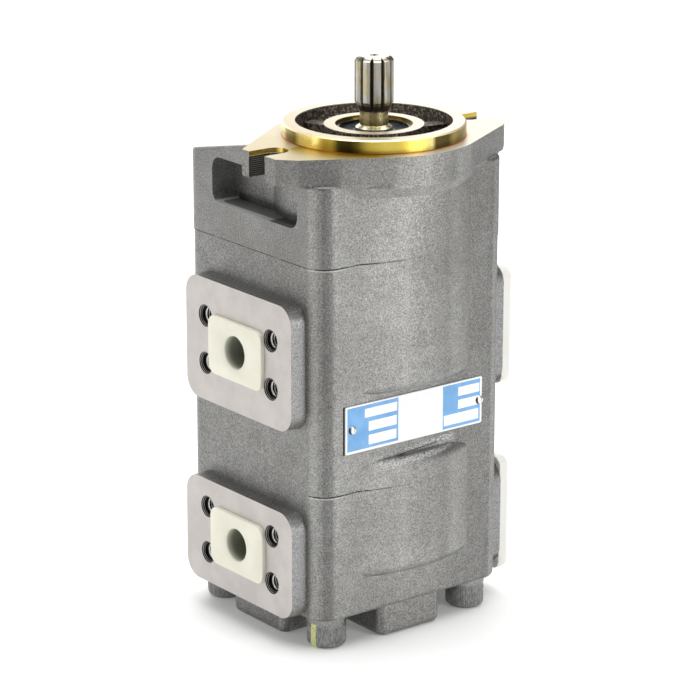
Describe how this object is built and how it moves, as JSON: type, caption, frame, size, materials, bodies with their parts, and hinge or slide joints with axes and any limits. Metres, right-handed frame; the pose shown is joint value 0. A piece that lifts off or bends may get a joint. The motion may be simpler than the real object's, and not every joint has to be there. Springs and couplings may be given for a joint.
{
  "type": "hydraulic pump",
  "caption": "Tandem gear pump with a slotted two-ear flange, splined drive shaft, side ports closed by plastic plugs and covers, and long clamping screws.",
  "frame": {"origin": "on the drive shaft's axis, in the mounting face of the flange", "axes": "+Z out along the drive shaft, -X out of the outlet ports, +X out of the inlet ports, -Y out of the face with the name plate"},
  "size_m": [0.1611, 0.1538, 0.325],
  "materials": {
    "cast_iron": "as cast, with machined faces",
    "shaft_steel": "ground",
    "block_aluminium": "machined",
    "bush_bronze": "smooth",
    "seal_rubber": "smooth",
    "ring_steel": "dark oiled",
    "dowel_steel": "ground",
    "screw_steel": "dark oxide",
    "washer_steel": "zinc plated",
    "plug_plastic": "cream",
    "cover_plastic": "white",
    "plate_metal": "printed",
    "rivet_aluminium": "bright"
  },
  "bodies": {
    "casing": {"front_cover": "cast_iron", "front_housing": "cast_iron", "rear_housing": "cast_iron", "front_upper_block": "block_aluminium", "front_lower_block": "block_aluminium", "rear_upper_block": "block_aluminium", "rear_lower_block": "block_aluminium", "front_upper_drive_bush": "bush_bronze", "front_upper_driven_bush": "bush_bronze", "front_lower_drive_bush": "bush_bronze", "front_lower_driven_bush": "bush_bronze", "rear_upper_drive_bush": "bush_bronze", "rear_upper_driven_bush": "bush_bronze", "rear_lower_drive_bush": "bush_bronze", "rear_lower_driven_bush": "bush_bronze", "shaft_seal": "seal_rubber", "front_joint_seal": "seal_rubber", "rear_joint_seal": "seal_rubber", "front_upper_pressure_seal": "seal_rubber", "front_lower_pressure_seal": "seal_rubber", "rear_upper_pressure_seal": "seal_rubber", "rear_lower_pressure_seal": "seal_rubber", "seal_retaining_ring": "ring_steel", "front_left_dowel": "dowel_steel", "front_right_dowel": "dowel_steel", "rear_left_dowel": "dowel_steel", "rear_right_dowel": "dowel_steel", "left_front_screw": "screw_steel", "left_back_screw": "screw_steel", "right_front_screw": "screw_steel", "right_back_screw": "screw_steel", "left_front_washer": "washer_steel", "left_back_washer": "washer_steel", "right_front_washer": "washer_steel", "right_back_washer": "washer_steel", "front_outlet_plug": "plug_plastic", "rear_outlet_plug": "plug_plastic", "front_inlet_cover": "cover_plastic", "rear_inlet_cover": "cover_plastic", "name_plate": "plate_metal", "left_rivet": "rivet_aluminium", "right_rivet": "rivet_aluminium"},
    "drive_train": {"drive_shaft": "shaft_steel", "coupling_sleeve": "shaft_steel", "rear_drive_gear": "shaft_steel"},
    "front_driven": {"front_driven_gear": "shaft_steel"},
    "rear_driven": {"rear_driven_gear": "shaft_steel"}
  },
  "joints": [
    {"name": "drive_spin", "type": "hinge", "parent": "casing", "child": "drive_train", "pos_m": [0, 0, 0], "axis": [0, 0, 1], "continuous": true},
    {"name": "front_driven_spin", "type": "hinge", "parent": "casing", "child": "front_driven", "pos_m": [0, 0.051, 0], "axis": [0, 0, 1], "continuous": true},
    {"name": "rear_driven_spin", "type": "hinge", "parent": "casing", "child": "rear_driven", "pos_m": [0, 0.051, 0], "axis": [0, 0, 1], "continuous": true}
  ],
  "couplings": [
    {"joint": "front_driven_spin", "follows": "drive_spin", "ratio": -1},
    {"joint": "rear_driven_spin", "follows": "drive_spin", "ratio": -1}
  ]
}
